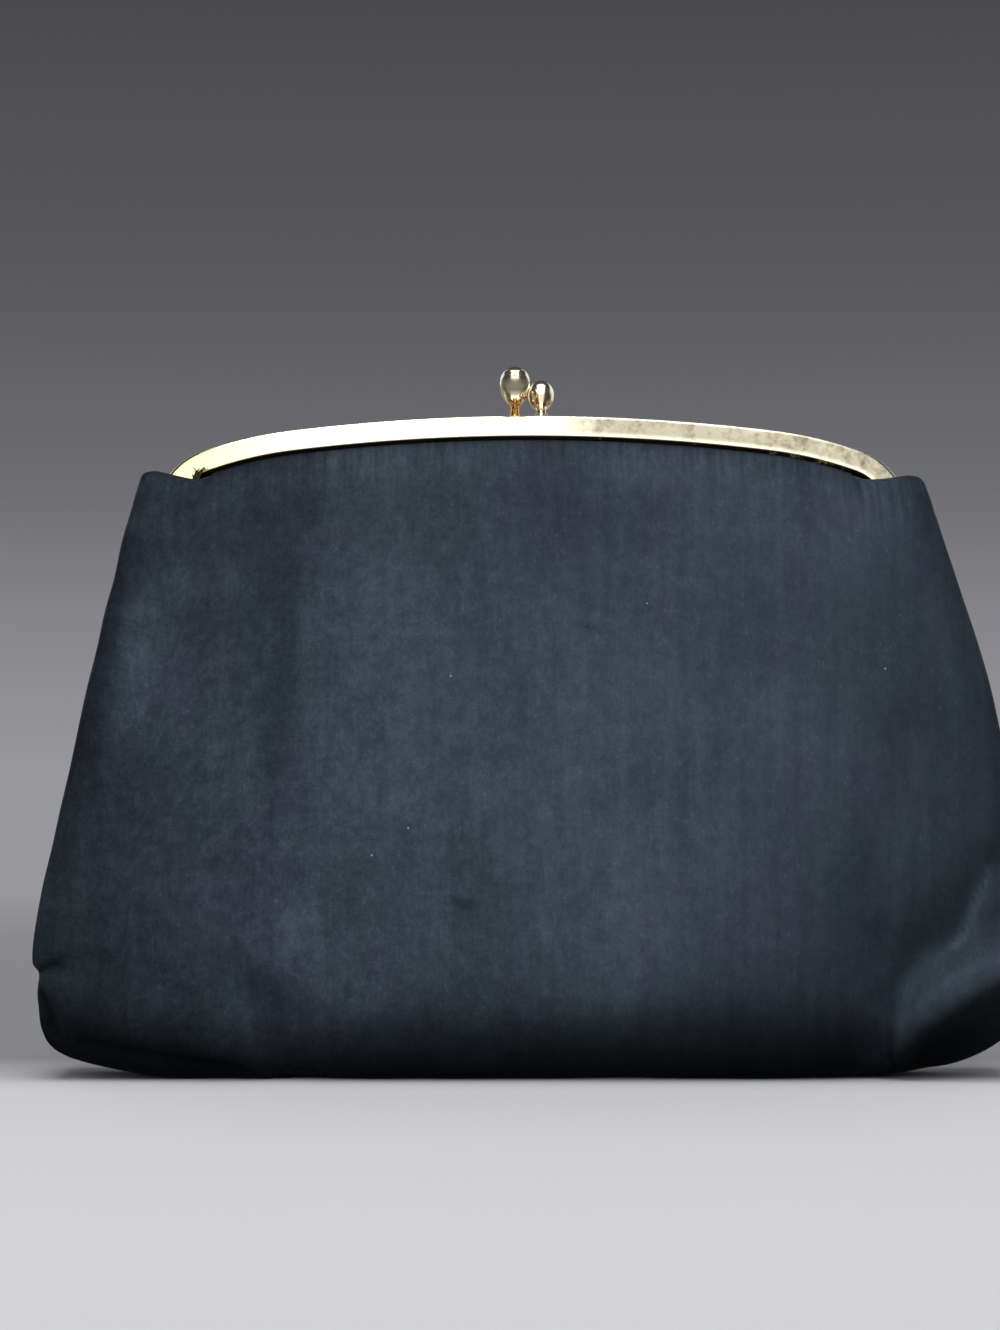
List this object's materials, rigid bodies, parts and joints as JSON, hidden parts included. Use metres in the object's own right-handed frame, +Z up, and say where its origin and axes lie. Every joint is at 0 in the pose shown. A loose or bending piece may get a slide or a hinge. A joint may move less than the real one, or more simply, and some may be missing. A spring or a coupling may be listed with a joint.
{
  "type": "kiss lock clutch",
  "caption": "Soft dark cloth clutch bag that widens to a rounded base, hung in an arched gold metal frame closed by a kiss lock of crossed ball knobs.",
  "frame": {"origin": "on the resting surface, under the middle of the bag", "axes": "+X to the right seen from the front, +Y from front to back, +Z up"},
  "size_m": [0.2276, 0.0479, 0.1632],
  "materials": {
    "cloth": "ribbed satin, black with a blue cast, faintly worn",
    "frame_metal": "pale gold, polished, pitted with age",
    "clasp_metal": "pale gold, polished"
  },
  "bodies": {
    "root": {"front_panel": "cloth", "back_panel": "cloth", "gusset_left": "cloth", "gusset_right": "cloth", "frame_front": "frame_metal", "frame_back": "frame_metal", "clasp_knob_front": "clasp_metal", "clasp_knob_back": "clasp_metal", "hinge_rivet_left": "clasp_metal", "hinge_rivet_right": "clasp_metal"}
  },
  "joints": []
}
